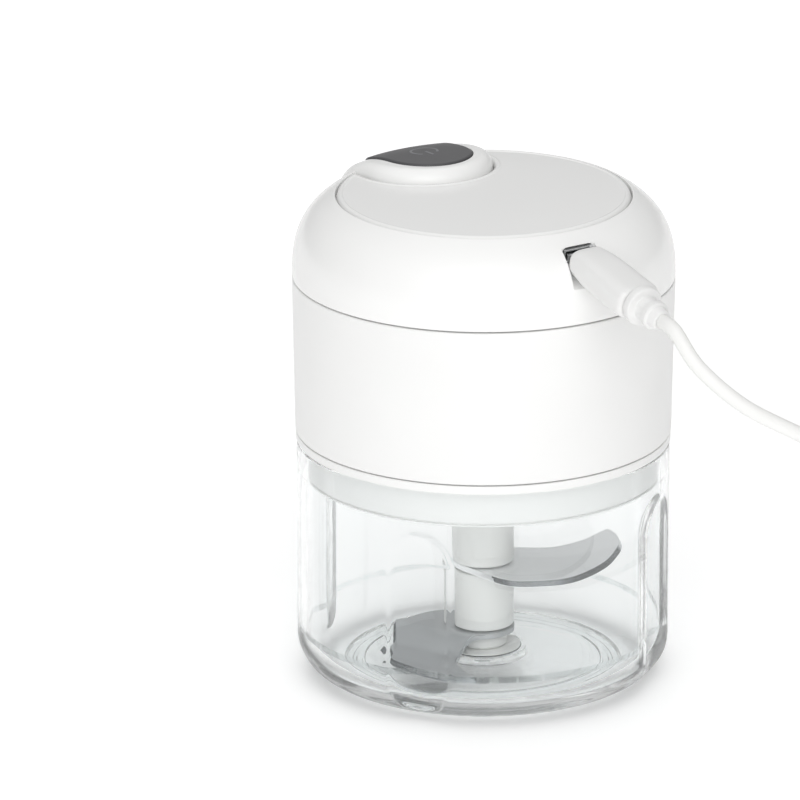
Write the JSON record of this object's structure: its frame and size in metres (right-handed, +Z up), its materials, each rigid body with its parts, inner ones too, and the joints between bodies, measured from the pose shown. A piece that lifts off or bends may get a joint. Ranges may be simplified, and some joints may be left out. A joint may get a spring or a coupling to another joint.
{
  "type": "mini food chopper",
  "caption": "Rechargeable mini food chopper: clear fluted cup, two-tier blade unit, push-button motor head lifting off the cup, and a plugged-in USB charging lead.",
  "frame": {"origin": "centre of the cup foot, on the surface it stands on", "axes": "+Z up along the cup, hub and motor axis; the charging port faces -Y and the push button lies towards +Y"},
  "size_m": [0.1549, 0.1442, 0.1165],
  "materials": {
    "clear_cup": "clear, polished",
    "foot_rubber": "matt",
    "white_casing": "satin gloss",
    "body_casing": "satin gloss",
    "base_white": "satin",
    "hub_white": "satin",
    "blade_steel": "fine brushed",
    "button_grey": "satin dark grey",
    "turned_steel": "turned",
    "motor_steel": "plated",
    "black_plastic": "matt",
    "magnet": "ferrite, matt",
    "armature_winding": "laminations and enamelled copper",
    "commutator_brass": "turned",
    "grey_frame": "matt",
    "screw_zinc": "zinc plated",
    "seal_silicone": "soft",
    "cell_wrap": "shrink wrap",
    "board_green": "solder mask",
    "plug_steel": "plated",
    "lead_white": "satin",
    "cord_jacket": "satin",
    "tie_white": "hook tape",
    "insert_white": "matt",
    "wire_red": "satin",
    "wire_black": "satin"
  },
  "bodies": {
    "cup": {"cup": "clear_cup", "foot_ring": "foot_rubber", "spindle_pin": "turned_steel"},
    "head": {"head_base": "base_white", "lower_casing": "body_casing", "upper_casing": "white_casing", "top_panel": "white_casing", "motor_bracket": "grey_frame", "bracket_screw_1": "screw_zinc", "bracket_screw_2": "screw_zinc", "bracket_screw_3": "screw_zinc", "motor_can": "motor_steel", "motor_end_bell": "black_plastic", "motor_magnet_1": "magnet", "motor_magnet_2": "magnet", "motor_screw_1": "screw_zinc", "motor_screw_2": "screw_zinc", "shaft_seal": "seal_silicone", "chassis_plate": "grey_frame", "battery_cell": "cell_wrap", "circuit_board": "board_green", "usb_socket": "plug_steel", "socket_tongue": "black_plastic", "switch_board": "board_green", "tact_switch": "black_plastic", "board_screw_1": "screw_zinc", "board_screw_2": "screw_zinc", "wire_cell_plus": "wire_red", "wire_cell_minus": "wire_black", "wire_motor_plus": "wire_red", "wire_motor_minus": "wire_black"},
    "button": {"button": "button_grey"},
    "rotor": {"motor_shaft": "turned_steel", "armature": "armature_winding", "commutator": "commutator_brass", "drive_coupling": "hub_white"},
    "blades": {"hub_upper": "hub_white", "hub_sleeve": "hub_white", "hub_cap": "hub_white", "upper_blade": "blade_steel", "lower_blade": "blade_steel"},
    "charging_lead": {"micro_plug_shell": "plug_steel", "micro_plug_grip": "lead_white", "strain_relief": "lead_white", "lead_cord": "cord_jacket", "lead_coil": "cord_jacket", "lead_tie": "tie_white", "lead_tail": "cord_jacket", "usb_a_grip": "lead_white", "usb_a_shell": "plug_steel", "usb_a_insert": "insert_white"}
  },
  "joints": [
    {"name": "head_lift", "type": "slide", "parent": "cup", "child": "head", "axis": [0, 0, 1], "range_m": [0, 0.11]},
    {"name": "button_press", "type": "slide", "parent": "head", "child": "button", "axis": [0, 0, -1], "range_m": [0, 0.0008], "stiffness_N_per_m": 1500},
    {"name": "motor_spin", "type": "hinge", "parent": "head", "child": "rotor", "pos_m": [0, 0, 0.07], "axis": [0, 0, 1], "continuous": true},
    {"name": "blade_spin", "type": "hinge", "parent": "cup", "child": "blades", "pos_m": [0, 0, 0.02], "axis": [0, 0, 1], "continuous": true},
    {"name": "lead_unplug", "type": "slide", "parent": "head", "child": "charging_lead", "axis": [0, -0.9781, -0.2079], "range_m": [0, 0.008]}
  ],
  "couplings": [
    {"joint": "blade_spin", "follows": "motor_spin", "ratio": 1}
  ]
}
